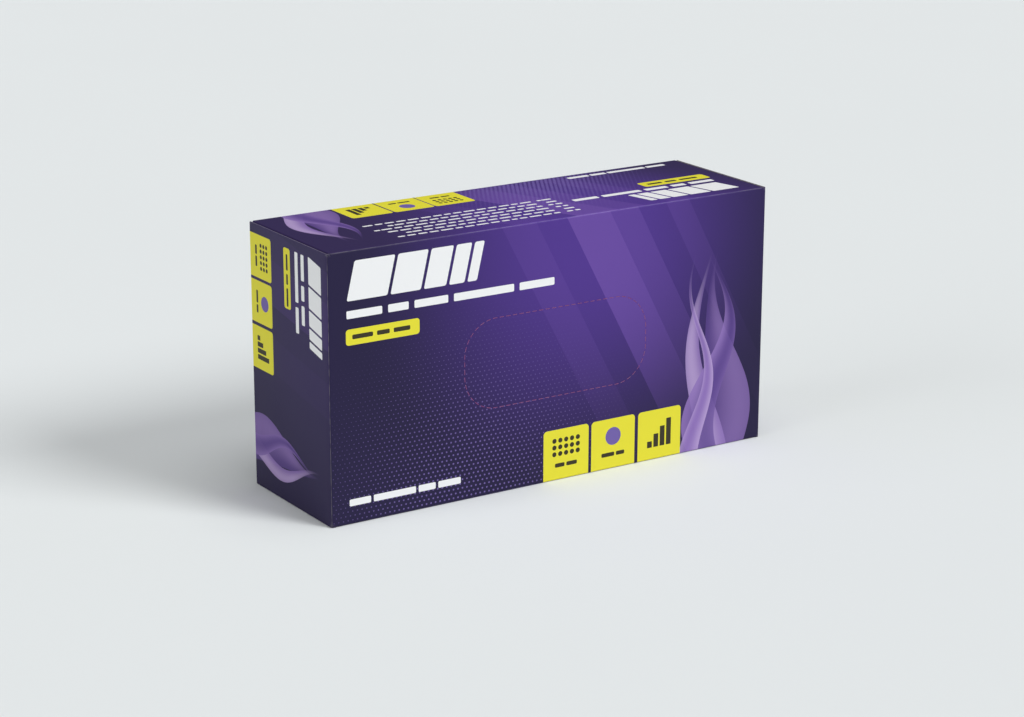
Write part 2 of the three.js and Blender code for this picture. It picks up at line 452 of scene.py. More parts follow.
def printed_finish(sheet):
    """Ink under a thin satin coating on the smooth side of the board."""
    ink = sheet.ink
    inks = sheet.inks
    bare = ink.mix(ink.noise(sheet.place, BARE_BOARD), inks.core_light, inks.board_white)
    # The bare board laid along the folds is partly cracks in the coating and partly a painted highlight on
    # each fold.
    sheet.lay(crazed_and_highlit_folds(ink, sheet.place) * inks.fold_crack_and_highlight_share, bare)
    fine = ink.noise(sheet.place, INK_GRAIN, 3.0)
    broad = ink.noise(sheet.place, COARSE_MOTTLE, 1.0)
    roughness = fine * 0.10 + broad * 0.10 + inks.coat_roughness
    grain_relief, wave_relief = 0.000006, 0.00002
    height = fine * grain_relief + ink.noise(sheet.place, BOARD_WAVES, 1.0) * wave_relief
    return ink.finish(sheet.colour, roughness, ink.bump(height, strength=0.6), inks.coat_specular)


def fibre_finish(name, tone, speck, scale):
    """Uncoated board: pressed fibres with scattered darker specks."""
    ink = Ink(name)
    place = ink.object_place()
    fibres = ink.noise(place, scale, 4.0)
    specks = ink.noise(place, scale * 2.7, 1.0).ease(0.66, 0.74)
    colour = ink.mix(fibres.ease(0.3, 0.7) * 0.5, tone, speck)
    colour = ink.mix(specks * 0.5, colour, speck)
    normal = ink.bump(fibres * 0.00002, strength=0.7)
    return ink.finish(colour, roughness=0.88, normal=normal, gloss=0.2)


# The print, panel by panel, where the tiles start past the panel's edge

RUN_OFF = -6


def title(sheet):
    """The label, heading and line in the upper left corner of a large panel."""
    ink, inks, u, v = sheet.ink, sheet.inks, sheet.u, sheet.v
    sheet.lay(sheet.rounded(8.8, 46.3, 83.2, 90.5, 1.5), inks.yellow)
    sheet.lay(words(ink, u, v, 12, (10.5, 6.5, 8.5), gap=2.0, low=85.8, high=87.9), inks.mark)
    heading = slab_row(ink, u, v, 9.5, (20.5, 15.5, 11.5, 8.0, 5.0), gap=1.6, low=103.3, high=121.2)
    sheet.lay(heading, inks.white)
    sheet.lay(words(ink, u, v, 9.3, (18, 10.5, 17.5, 32, 19), gap=3.0, low=95.3, high=98.9), inks.white)


def front_print(name, inks, opening):
    """The front: u from the left end, v from the ground."""
    sheet = Sheet(name, inks, lambda x, y, z: (x + LENGTH_MM / 2, z))
    ink, u, v = sheet.ink, sheet.u, sheet.v
    ground(sheet, 138, 120, inner=12, outer=130, slant=28)
    dot_field(sheet, 72, -2, reach=120)
    film = (
        Ribbon(centre=214, half=12, sway=5, turns=0.055, phase=0.4, share=0.7),
        Ribbon(centre=205, half=10, sway=7, turns=0.048, phase=2.1, share=0.8),
        Ribbon(centre=211, half=8, sway=9, turns=0.062, phase=3.9, share=0.85),
        Ribbon(centre=202, half=5, sway=6, turns=0.07, phase=5.2, share=0.9),
    )
    ribbons(sheet, u, v, film, root=8, tip=100)
    tiles = ((112.8, 138.2), (139.8, 164.8), (166.7, 191.8))
    tile_height = 25
    for left, right in tiles:
        sheet.lay(sheet.rounded(left, right, RUN_OFF, tile_height, 1.9), inks.yellow)
    tile_marks(sheet, u, v, tiles, tile_height)
    title(sheet)
    sheet.lay(words(ink, u, v, 9.3, (11, 22, 9, 12), gap=1.4, low=8.6, high=11.8), inks.white)
    sheet.lay(perforation_marks(sheet, opening), inks.red)
    return printed_finish(sheet)


def top_print(name, inks):
    """The top, most of which reads from behind: u from the left end, v from the back edge."""
    sheet = Sheet(name, inks, lambda x, y, z: (x + LENGTH_MM / 2, DEPTH_MM / 2 - y))
    ink, u, v = sheet.ink, sheet.u, sheet.v
    # The top's ground is lightened evenly, a painted sheen of its coating seen at a glancing angle.
    ground(sheet, 140, 72, inner=30, outer=114, slant=-24, painted_light_lift=0.1)
    dot_field(sheet, 150, 0, reach=90, largest=0.78)
    film = (
        Ribbon(centre=24, half=9, sway=5, turns=0.07, phase=1.0, share=0.75),
        Ribbon(centre=19, half=7, sway=6, turns=0.08, phase=2.6, share=0.85),
        Ribbon(centre=27, half=5, sway=5, turns=0.09, phase=4.4, share=0.9),
    )
    ribbons(sheet, u, v, film, root=4, tip=60)
    tiles = ((41.7, 63.3), (64.2, 85.5), (86.2, 107.8))
    for left, right in tiles:
        sheet.lay(sheet.rounded(left, right, RUN_OFF, 21.7, 1.6), inks.yellow)
    turned = LENGTH_MM - u
    turned_tiles = [(LENGTH_MM - right, LENGTH_MM - left) for left, right in reversed(tiles)]
    tile_marks(sheet, turned, v, turned_tiles, 21.6)
    for start, end, ragged, mean in ((112, 204, 14, 6.0), (101, 109, 3, 4.5)):
        block = paragraph(
            ink, turned, v, start, end, ragged, low=35, pitch=4.95, lines=6, stroke=1.6, mean=mean)
        sheet.lay(block, inks.white)
    sheet.lay(sheet.rounded(191.5, 230, 33, 41.5, 1.5), inks.yellow)
    sheet.lay(words(ink, u, v, 195, (8.5, 6.5, 10.5), gap=2.0, low=36.1, high=38.4), inks.mark)
    sheet.lay(words(ink, u, v, 146, (14, 22, 13, 8, 14), gap=2.6, low=44.4, high=48.0), inks.white)
    rise = DEPTH_MM - v
    heading = slab_row(ink, turned, rise, 11, (15.4, 12.0, 9.0, 6.3, 3.9), gap=1.3, low=6.5, high=21)
    sheet.lay(heading, inks.white)
    sheet.lay(words(ink, u, v, 170, (12, 9, 22, 11), gap=1.2, low=4.6, high=7.6), inks.white)
    return printed_finish(sheet)


def end_print(name, inks, end):
    """An end, which reads downwards: u from the back edge of the left end, or the front of the right."""
    sheet = Sheet(name, inks, lambda x, y, z: (DEPTH_MM / 2 + y * end, z))
    ink, u, v = sheet.ink, sheet.u, sheet.v
    # The end's ground is lightened evenly, painted light against the end's shade.
    ground(sheet, 64, 92, inner=8, outer=90, slant=80, share=0.12, painted_light_lift=0.03)
    film = (
        Ribbon(centre=22, half=9, sway=3, turns=0.08, phase=0.6, share=0.75),
        Ribbon(centre=17, half=6, sway=5, turns=0.09, phase=2.4, share=0.85),
        Ribbon(centre=24, half=4, sway=4, turns=0.11, phase=4.6, share=0.9),
    )
    ribbons(sheet, v, u, film, root=4, tip=63)
    tiles = ((101, 121.3), (79.6, 99.6), (57.6, 78))
    for low, high in tiles:
        sheet.lay(sheet.rounded(RUN_OFF, 20.2, low, high, 1.5), inks.yellow)
    down = HEIGHT_MM - v
    down_tiles = [(HEIGHT_MM - high, HEIGHT_MM - low) for low, high in tiles]
    tile_marks(sheet, down, u, down_tiles, 20.3)
    sheet.lay(sheet.rounded(32.2, 38.2, 92.8, 120.8, 1.3), inks.yellow)
    sheet.lay(words(ink, down, u, 8, (7.5, 5, 8.5), gap=1.6, low=34.4, high=36.0), inks.mark)
    first = words(ink, down, u, 5.2, (12, 7, 9), gap=2.2, low=48.2, high=51.0)
    second = words(ink, down, u, 5.2, (23, 12), gap=2.2, low=42.6, high=45.4)
    sheet.lay(first.most(second), inks.white)
    heading = slab_row(ink, down, u, 4.8, (12.6, 9.8, 7.2, 5.0, 3.2), gap=1.0, low=55, high=66.3)
    sheet.lay(heading, inks.white)
    return printed_finish(sheet)


def back_print(name, inks):
    """The back: u from the right end, v from the ground."""
    sheet = Sheet(name, inks, lambda x, y, z: (LENGTH_MM / 2 - x, z))
    ground(sheet, 110, 120, inner=12, outer=112, slant=28)
    dot_field(sheet, 196, -6, reach=110)
    title(sheet)
    columns = [
        paragraph(
            sheet.ink, sheet.u, sheet.v, start, end, ragged, low=16, pitch=5.0, lines=12, stroke=1.9,
            mean=8.5)
        for start, end, ragged in ((9.3, 104, 22), (128, 186, 16))
    ]
    sheet.lay(columns[0].most(columns[1]), inks.white)
    return printed_finish(sheet)


def bottom_print(name, inks):
    """The bottom: u from the left end, v from the front edge."""
    sheet = Sheet(name, inks, lambda x, y, z: (x + LENGTH_MM / 2, y + DEPTH_MM / 2))
    ground(sheet, 120, 36, inner=12, outer=112, slant=24)
    block = paragraph(
        sheet.ink, sheet.u, sheet.v, 12, 92, 18, low=14, pitch=5.0, lines=9, stroke=1.9, mean=8.5)
    sheet.lay(block, inks.white)
    return printed_finish(sheet)


LOOKS = (
    "front", "top", "back", "bottom", "left_end", "right_end", "coated", "reverse", "edge", "inked_edge")
FRONT, TOP, BACK, BOTTOM, LEFT_END, RIGHT_END, COATED, REVERSE, EDGE, INKED_EDGE = range(len(LOOKS))


def board_materials(scene):
    """The finishes of the blank in the order of LOOKS, made once and shared by its pieces."""
    names = [f"board_{look}" for look in LOOKS]
    if names[0] in bpy.data.materials:
        return [bpy.data.materials[name] for name in names]
    inks = scene.carton_inks
    return [
        front_print(names[FRONT], inks, scene.carton_opening),
        top_print(names[TOP], inks),
        back_print(names[BACK], inks),
        bottom_print(names[BOTTOM], inks),
        end_print(names[LEFT_END], inks, -1),
        end_print(names[RIGHT_END], inks, 1),
        fibre_finish(names[COATED], inks.board_white, inks.core_light, COATED_FIBRES),
        fibre_finish(names[REVERSE], inks.core_light, inks.core, REVERSE_FIBRES),
        fibre_finish(names[EDGE], inks.core_light, inks.core, EDGE_FIBRES),
        fibre_finish(names[INKED_EDGE], inks.inked_edge, inks.ground, EDGE_FIBRES),
    ]


# Board drawn out, folded and given its thickness


def row_of_edges(bm, start, end, cuts):
    edge = bm.edges.new([bm.verts.new(start), bm.verts.new(end)])
    bmesh.ops.subdivide_edges(bm, edges=[edge], cuts=cuts)
    return bm.edges[:]


def distinct(items):
    """Each item once, in the order in which they come, so that every run builds the same mesh."""
    return list(dict.fromkeys(items))


def ends_of(edges):
    return distinct(vert for edge in edges for vert in edge.verts)


def draw_out(bm, edges, move, steps, look):
    """Draws a row of edges out flat along move, and returns the far row."""
    for _ in range(steps):
        made = bmesh.ops.extrude_edge_only(bm, edges=edges)["geom"]
        verts = [item for item in made if isinstance(item, bmesh.types.BMVert)]
        bmesh.ops.translate(bm, vec=move / steps, verts=verts)
        for item in made:
            if isinstance(item, bmesh.types.BMFace):
                item.material_index = look
        moved = set(verts)
        edges = [e for e in made if isinstance(e, bmesh.types.BMEdge) and set(e.verts) <= moved]
    return edges


def fold(bm, edges, centre, turn, steps, before, after):
    """Turns a row of edges about an axis along X, the first half in one finish, then in another."""
    for look in (before, after):
        known = set(bm.faces)
        made = bmesh.ops.spin(
            bm, geom=edges + ends_of(edges), cent=centre, axis=(1, 0, 0), angle=turn / 2, steps=steps,
            use_merge=False, use_normal_flip=False, use_duplicate=False)
        edges = [item for item in made["geom_last"] if isinstance(item, bmesh.types.BMEdge)]
        for face in bm.faces:
            if face not in known:
                face.material_index = look
    return edges


def give_thickness(bm, edge=EDGE):
    """Makes the drawn skin the board's outside, with a reverse side and cut edges of their own."""
    skin = bm.faces[:]
    outside = {vert for face in skin for vert in face.verts}
    bmesh.ops.solidify(bm, geom=skin, thickness=BOARD)
    known = set(skin)
    for face in bm.faces:
        if face not in known:
            face.material_index = edge if any(vert in outside for vert in face.verts) else REVERSE


def mark_sharp(bm, limit=math.radians(32)):
    for face in bm.faces:
        face.smooth = True
    for edge in bm.edges:
        edge.smooth = len(edge.link_faces) == 2 and edge.calc_face_angle(0.0) < limit


def piece_from(bm, name, materials):
    mesh = bpy.data.meshes.new(name)
    bm.to_mesh(mesh)
    bm.free()
    piece = bpy.data.objects.new(name, mesh)
    bpy.context.scene.collection.objects.link(piece)
    for material in materials:
        mesh.materials.append(material)
    return piece


def keep_used_materials(mesh):
    """Drops the finishes that no face of a piece wears."""
    used = sorted({polygon.material_index for polygon in mesh.polygons})
    worn = [mesh.materials[i] for i in used]
    places = [used.index(polygon.material_index) for polygon in mesh.polygons]
    mesh.materials.clear()
    for material in worn:
        mesh.materials.append(material)
    mesh.polygons.foreach_set("material_index", places)
    mesh.update()


def finish_mesh(piece):
    """Merges what cuts left doubled, and parts the smooth folds from the sharp edges."""
    bm = bmesh.new()
    bm.from_mesh(piece.data)
    bmesh.ops.remove_doubles(bm, verts=bm.verts[:], dist=0.001 * MM)
    mark_sharp(bm)
    bm.to_mesh(piece.data)
    bm.free()
    keep_used_materials(piece.data)


def swell(mesh, amount):
    """Bows the front panel outwards a little, which the gloves inside press on."""
    for vert in mesh.vertices:
        depth = vert.co.y + HALF_DEPTH
        if depth > BOARD * 1.5:
            continue
        across = 1 - (vert.co.x / SLEEVE_END) ** 2
        up = 1 - ((vert.co.z - HEIGHT / 2) / (HEIGHT / 2 - FOLD_RADIUS)) ** 2
        vert.co.y -= amount * max(across, 0) * max(up, 0)


# The tear-out panel's outline and its cuts


def ring_quarter(opening):
    """The length of a quarter of the outline."""
    flat = opening.width / 2 + opening.height / 2 - 2 * opening.radius
    return flat + math.pi / 2 * opening.radius


def nick_pitch(opening):
    """The distance from nick to nick: the one nearest to the wished pitch that fits each quarter."""
    quarter = ring_quarter(opening)
    return quarter / max(1, round(quarter / opening.pitch))


def ring_place(opening, along):
    """A place on the outline's first quarter, from the middle of its top edge, and its heading there."""
    flat_x = opening.width / 2 - opening.radius
    flat_z = opening.height / 2 - opening.radius
    bend = math.pi / 2 * opening.radius
    turn = min(max(along - flat_x, 0), bend) / opening.radius
    x = min(along, flat_x) + opening.radius * math.sin(turn)
    z = flat_z + opening.radius * math.cos(turn) - max(along - flat_x - bend, 0)
    return x, z, turn


def outline_block(opening, materials):
    """A block of the tear-out panel's outline that reaches through the front panel."""
    bm = bmesh.new()
    bmesh.ops.create_grid(bm, x_segments=1, y_segments=1, size=0.5)
    bmesh.ops.scale(bm, vec=(opening.width, opening.height, 1), verts=bm.verts[:])
    bmesh.ops.bevel(
        bm, geom=bm.verts[:], offset=opening.radius, affect="VERTICES", segments=24, profile=0.5,
        material=-1)
    upright = Matrix.Rotation(math.radians(90), 3, "X")
    bmesh.ops.rotate(bm, cent=(0, 0, 0), matrix=upright, verts=bm.verts[:])
    bmesh.ops.translate(bm, vec=(0, -HALF_DEPTH - BOARD, HEIGHT / 2), verts=bm.verts[:])
    made = bmesh.ops.extrude_face_region(bm, geom=bm.faces[:])["geom"]
    far = [item for item in made if isinstance(item, bmesh.types.BMVert)]
    bmesh.ops.translate(bm, vec=(0, 3 * BOARD, 0), verts=far)
    bmesh.ops.recalc_face_normals(bm, faces=bm.faces[:])
    return piece_from(bm, "outline", [materials[INKED_EDGE]])


def slit_blocks(opening, materials):
    """The perforating knife's cuts: one thin block for each, all round the outline."""
    bm = bmesh.new()
    pitch = nick_pitch(opening)
    count = round(ring_quarter(opening) / pitch)
    length = pitch - opening.nick
    for quarter_x in (1, -1):
        for quarter_z in (1, -1):
            for i in range(count):
                x, z, turn = ring_place(opening, pitch * (i + 0.5))
                made = bmesh.ops.create_cube(bm, size=1.0)["verts"]
                bmesh.ops.scale(bm, vec=(length, 4 * BOARD, opening.slit), verts=made)
                heading = Matrix.Rotation(turn, 3, "Y")
                bmesh.ops.rotate(bm, cent=(0, 0, 0), matrix=heading, verts=made)
                bmesh.ops.translate(bm, vec=(x, -HALF_DEPTH + BOARD / 2, z), verts=made)
                bmesh.ops.scale(bm, vec=(quarter_x, 1, quarter_z), verts=made)
                bmesh.ops.translate(bm, vec=(0, 0, HEIGHT / 2), verts=made)
    bmesh.ops.recalc_face_normals(bm, faces=bm.faces[:])
    return piece_from(bm, "slits", [materials[EDGE]])


# A tilt that leaves no side of the board square to an axis
TILT = Euler((0.31, 0.23, 0.17)).to_matrix().to_4x4()
CUT_TRIES = 5


def volume(mesh):
    """A closed mesh's volume, which is below 0 where it is inside out."""
    bm = bmesh.new()
    bm.from_mesh(mesh)
    measure = bm.calc_volume(signed=True)
    bm.free()
    return measure


def cut_by(piece, cutter, operation):
    """Cuts a piece by another, which is used up, with the cut faces in the cutter's finish.

    The exact solver now and then turns a board that lies square to the axes inside out. So both
    are tilted for the cut, and tilted on while the volume that comes out can't be right."""
    whole = piece.data
    most = volume(whole)
    modifier = piece.modifiers.new("cut", "BOOLEAN")
    modifier.operation = operation
    modifier.solver = "EXACT"
    modifier.material_mode = "TRANSFER"
    modifier.object = cutter
    tilted = Matrix()
    for _ in range(CUT_TRIES):
        tilted = TILT @ tilted
        for mesh in (whole, cutter.data):
            mesh.transform(TILT)
            mesh.update()
        shown = piece.evaluated_get(bpy.context.evaluated_depsgraph_get())
        cut = bpy.data.meshes.new_from_object(shown)
        if 0 < volume(cut) < most:
            break
        bpy.data.meshes.remove(cut)
    else:
        raise RuntimeError(f"no try to cut {piece.name} gave a volume that can be right")
    cut.transform(tilted.inverted())
    piece.modifiers.clear()
    piece.data = cut
    cut.name = whole.name
    bpy.data.meshes.remove(whole)
    spare = cutter.data
    bpy.data.objects.remove(cutter)
    bpy.data.meshes.remove(spare)


def cut_opening(piece, opening, materials, operation):
    """Keeps what lies outside or inside the tear-out panel's outline, and cuts round it."""
    cut_by(piece, outline_block(opening, materials), operation)
    cut_by(piece, slit_blocks(opening, materials), "DIFFERENCE")


# Settings


def length_setting(name, description, millimetres):
    return FloatProperty(name=name, description=description, default=millimetres * MM, unit="LENGTH")


def angle_setting(name, description, degrees):
    return FloatProperty(
        name=name, description=description, default=math.radians(degrees), subtype="ANGLE")


def share_setting(name, description, share):
    return FloatProperty(
        name=name, description=description, default=share, min=0, max=1, subtype="FACTOR")


def strength_setting(name, description, strength):
    return FloatProperty(name=name, description=description, default=strength)


def colour_setting(name, description, red, green, blue):
    return FloatVectorProperty(
        name=name, description=description, subtype="COLOR", size=3, min=0, max=1,
        default=display(red, green, blue))


class CartonBoardSettings(PropertyGroup):
    cell: length_setting("Cell", "Size of the mesh's cells on the flat panels", 6)
    fold_steps: IntProperty(name="Fold steps", description="Faces round each half of a fold", default=4)
    swell: length_setting("Swell", "How far the middle of the front panel stands out", 0.2)
    bleed: length_setting("Bleed", "How far the print runs past a fold onto a hidden flap", 3)
    seam_width: length_setting("Seam width", "Height of the glue flap inside the back panel", 15)
    seam_mitre: length_setting("Seam mitre", "How far the glue flap's ends slope in", 5)
    seam_lift: length_setting("Seam lift", "Height of the back panel's cut edge above the ground", 0.6)


class CartonOpeningSettings(PropertyGroup):
    width: length_setting("Width", "Width of the tear-out panel", 100.4)
    height: length_setting("Height", "Height of the tear-out panel", 42.6)
    radius: length_setting("Radius", "Radius of its corners", 17)
    pitch: length_setting("Pitch", "Distance from cut to cut", 3.6)
    nick: length_setting("Nick", "Length of board left between two cuts", 1.2)
    slit: length_setting("Slit", "Width of a cut", 0.06)
    dash: length_setting("Dash", "Length of a printed dash", 2.3)
    dash_width: length_setting("Dash width", "Width of a printed dash", 0.36)


class CartonInkSettings(PropertyGroup):
    ground: colour_setting("Ground", "The darkest ink of the ground", 38, 32, 65)
    violet: colour_setting("Violet", "The ground where it glows", 80, 54, 140)
    violet_light: colour_setting("Light violet", "The slanting bands", 108, 78, 162)
    dot: colour_setting("Dots", "The small dots of the ground", 128, 110, 182)
    yellow: colour_setting("Yellow", "The tiles and the label", 227, 219, 58)
    white: colour_setting("White", "The bars of the heading and lines", 238, 239, 240)
    mark: colour_setting("Mark", "The dark marks on yellow", 58, 54, 40)
    disc: colour_setting("Disc", "The round mark", 112, 96, 166)
    red: colour_setting("Red", "The dashes round the tear-out panel", 128, 60, 114)
    film_dark: colour_setting("Film, dark", "The shaded side of a ribbon", 92, 68, 140)
    film_mid: colour_setting("Film, middle", "The middle tone of a ribbon", 142, 114, 182)
    film_light: colour_setting("Film, light", "The lit side of a ribbon", 184, 160, 210)
    board_white: colour_setting("Coated side", "The board's white smooth side", 232, 230, 224)
    core_light: colour_setting("Core, light", "The lighter fibres of the core", 206, 200, 188)
    core: colour_setting("Core", "The darker fibres of the core", 150, 143, 130)
    inked_edge: colour_setting("Inked edge", "A flap's cut edge, where the ink wraps over", 112, 104, 130)
    # The pale lines along the folds are partly cracks and partly a painted highlight.
    fold_crack_and_highlight_share: share_setting("Wear", "Share of bare board that shows in cracks along folds", 0.14)
    coat_roughness: share_setting("Coating roughness", "Roughness of the satin coating", 0.36)
    coat_specular: share_setting("Coating gloss", "Strength of the satin coating's reflection", 0.15)


class CartonStageSettings(PropertyGroup):
    azimuth: angle_setting("Azimuth", "Camera's angle to the left of the front", 32.92)
    elevation: angle_setting("Elevation", "Camera's angle above the ground", 16.71)
    distance: FloatProperty(
        name="Distance", description="Camera's distance from the point that it looks at",
        default=1.24278, unit="LENGTH")
    target: FloatVectorProperty(
        name="Target", description="Point that the camera looks at", subtype="XYZ", size=3,
        default=(-2.84 * MM, -2.25 * MM, 51.55 * MM))
    roll: angle_setting("Roll", "Turn of the camera about its own line of sight", 0.09)
    lens: FloatProperty(
        name="Lens", description="Focal length on a sensor 36 mm wide", default=92.454, unit="CAMERA")
    floor_colour: colour_setting("Floor", "Colour of the pale floor", 228, 232, 233)
    backdrop: colour_setting("Backdrop", "Colour behind the floor", 226, 230, 231)
    sky: strength_setting("Sky", "Strength of the even light all round", 0.1)
    key: strength_setting("Key", "Strength of the soft light from the front right", 2.05)
    overhead: strength_setting("Overhead", "Strength of the soft light from above", 1.40)
    fill: strength_setting("Fill", "Strength of the soft light from the left", 0.94)


# Operators


class CARTON_OT_sleeve(Operator):
    """Add the printed sleeve, with its four panels, glue flap and cut opening"""

    bl_idname = "carton.sleeve"
    bl_label = "Sleeve"

    def execute(self, context):
        board = context.scene.carton_board
        materials = board_materials(context.scene)
        bm = bmesh.new()
        self.draw_panels(bm, board)
        give_thickness(bm)
        sleeve = piece_from(bm, "carton_sleeve", materials)
        cut_opening(sleeve, context.scene.carton_opening, materials, "DIFFERENCE")
        swell(sleeve.data, board.swell)
        finish_mesh(sleeve)
        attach(sleeve, "root")
        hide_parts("sleeve")
        return {"FINISHED"}

    @staticmethod
    def draw_panels(bm, board):
        """Draws the outer skin: up the back, over the top, down the front, under, and up the seam."""
        half = SLEEVE_END + CREASE_GAP / 2
        radius = FOLD_RADIUS
        side = HALF_DEPTH - radius
        top = HEIGHT - radius
        seam = HALF_DEPTH - LAYER_PITCH - radius
        quarter = math.radians(90)
        steps = board.fold_steps

        def runs(distance):
            return max(1, round(distance / board.cell))

        row = row_of_edges(
            bm, (-half, HALF_DEPTH, board.seam_lift), (half, HALF_DEPTH, board.seam_lift),
            round(2 * half / board.cell) - 1)
        up = top - board.seam_lift
        row = draw_out(bm, row, Vector((0, 0, up)), runs(up), BACK)
        row = fold(bm, row, (0, side, top), quarter, steps, BACK, TOP)
        row = draw_out(bm, row, Vector((0, -2 * side, 0)), runs(2 * side), TOP)
        row = fold(bm, row, (0, -side, top), quarter, steps, TOP, FRONT)
        row = draw_out(bm, row, Vector((0, 0, radius - top)), runs(top - radius), FRONT)
        row = fold(bm, row, (0, -side, radius), quarter, steps, FRONT, BOTTOM)
        row = draw_out(bm, row, Vector((0, seam + side, 0)), runs(seam + side), BOTTOM)
        row = fold(bm, row, (0, seam, radius), quarter, steps, BOTTOM, BOTTOM)
        known = set(bm.faces)
        rise = board.seam_width - radius
        draw_out(bm, row, Vector((0, 0, rise)), 2, COATED)
        for end in (-1, 1):
            flap = [face for face in bm.faces if face not in known]
            edges = distinct(edge for face in flap for edge in face.edges)
            bmesh.ops.bisect_plane(
                bm, geom=[*flap, *edges, *ends_of(edges)], plane_co=(end * half, 0, radius),
                plane_no=(end * rise, 0, board.seam_mitre), clear_outer=True)


class CARTON_OT_tear_out_panel(Operator):
    """Add the rounded tear-out panel that fills the opening"""

    bl_idname = "carton.tear_out_panel"
    bl_label = "Tear-out panel"

    def execute(self, context):
        board = context.scene.carton_board
        opening = context.scene.carton_opening
        materials = board_materials(context.scene)
        bm = bmesh.new()
        wide = opening.width / 2 + board.cell
        low = HEIGHT / 2 - opening.height / 2 - board.cell
        high = HEIGHT - low
        row = row_of_edges(
            bm, (-wide, -HALF_DEPTH, high), (wide, -HALF_DEPTH, high), round(2 * wide / board.cell) - 1)
        draw_out(bm, row, Vector((0, 0, low - high)), round((high - low) / board.cell), FRONT)
        give_thickness(bm)
        panel = piece_from(bm, "tear_out_panel", materials)
        cut_opening(panel, opening, materials, "INTERSECT")
        swell(panel.data, board.swell)
        finish_mesh(panel)
        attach(panel, "root")
        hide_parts("dispensing_panel")
        return {"FINISHED"}


# A flap's kind, its layer inwards from the carton's end, the way up out of its panel, how far its sides
# slope in, its corners' radius, and its looks up to the fold, past it and beyond the bleed, where None
# is the end's own look
Flap = namedtuple("Flap", "kind layer up taper corner looks")
FLAPS = (
    Flap("outer_flap", 0, (0, -1, 0), 0.0, 0.4 * MM, (FRONT, None, None)),
    Flap("inner_flap", 1, (0, 1, 0), 0.0, 0.4 * MM, (BACK, BACK, COATED)),
    Flap("top_dust_flap", 2, (0, 0, 1), 4 * MM, 5 * MM, (TOP, TOP, COATED)),
    Flap("bottom_dust_flap", 2, (0, 0, -1), 4 * MM, 5 * MM, (BOTTOM, BOTTOM, COATED)),
)


def draw_flap(bm, board, flap, width, length, looks):
    """Draws a flap's outer skin from its crease along Y, folded down, with its free corners rounded."""
    half = width / 2
    row = row_of_edges(bm, (half, 0, 0), (-half, 0, 0), round(width / board.cell) - 1)
    start = CREASE_GAP / 2 + (BURIED_LAYERS - flap.layer) * LAYER_PITCH
    row = draw_out(bm, row, Vector((0, start, 0)), 1, looks[0])
    row = fold(bm, row, (0, start, -FOLD_RADIUS), -math.radians(90), board.fold_steps, looks[0], looks[1])
    row = draw_out(bm, row, Vector((0, 0, -board.bleed)), 1, looks[1])
    rest = length - FOLD_RADIUS - board.bleed
    row = draw_out(bm, row, Vector((0, 0, -rest)), max(1, round(rest / board.cell)), looks[2])
    for vert in bm.verts:
        fallen = min(-vert.co.z / length, 1.0)
        vert.co.x *= 1 - fallen * flap.taper / half
    free = ends_of(row)
    tips = [min(free, key=lambda vert: vert.co.x), max(free, key=lambda vert: vert.co.x)]
    bmesh.ops.bevel(
        bm, geom=tips, offset=flap.corner, affect="VERTICES", segments=5, profile=0.5, material=-1)


def flap_piece(board, materials, node, flap, end, end_look):
    """One flap in its node's size, at the end that points to end along X."""
    low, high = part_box(node)
    size = high - low
    up = Vector(flap.up)
    width, length = (size.z, size.y) if up.y else (size.y, size.z)
    looks = [end_look if look is None else look for look in flap.looks]
    bm = bmesh.new()
    draw_flap(bm, board, flap, width, length, looks)
    # The outer flap's cut edges take the inked edge. The inner and dust flaps' cut edges take their panel's
    # print, whose dark ground paints shade into the groove between the flaps, where raw board would show.
    give_thickness(bm, INKED_EDGE if flap.layer == 0 else looks[0])
    out = Vector((end, 0, 0))
    turned = Matrix((out.cross(up), out, up)).transposed().to_4x4()
    hinge = Vector((
        end * (SLEEVE_END + CREASE_GAP / 2),
        up.y * HALF_DEPTH,
        HEIGHT / 2 + up.z * HEIGHT / 2,
    ))
    bmesh.ops.transform(bm, matrix=Matrix.Translation(hinge) @ turned, verts=bm.verts[:])
    piece = piece_from(bm, f"{node}_board", materials)
    finish_mesh(piece)
    return piece


class CARTON_OT_end_flaps(Operator):
    """Add the four glued flaps that close each end"""

    bl_idname = "carton.end_flaps"
    bl_label = "End flaps"

    def execute(self, context):
        materials = board_materials(context.scene)
        for side, end, end_look in (("left", -1, LEFT_END), ("right", 1, RIGHT_END)):
            for flap in FLAPS:
                node = f"{side}_{flap.kind}"
                piece = flap_piece(context.scene.carton_board, materials, node, flap, end, end_look)
                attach(piece, "root")
                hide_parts(node)
        return {"FINISHED"}


def direction(azimuth, elevation):
    """The way from the carton to a place at an angle to the right of its front and above the ground."""
    level = Vector((math.sin(azimuth), -math.cos(azimuth), 0)) * math.cos(elevation)
    return level + Vector((0, 0, math.sin(elevation)))


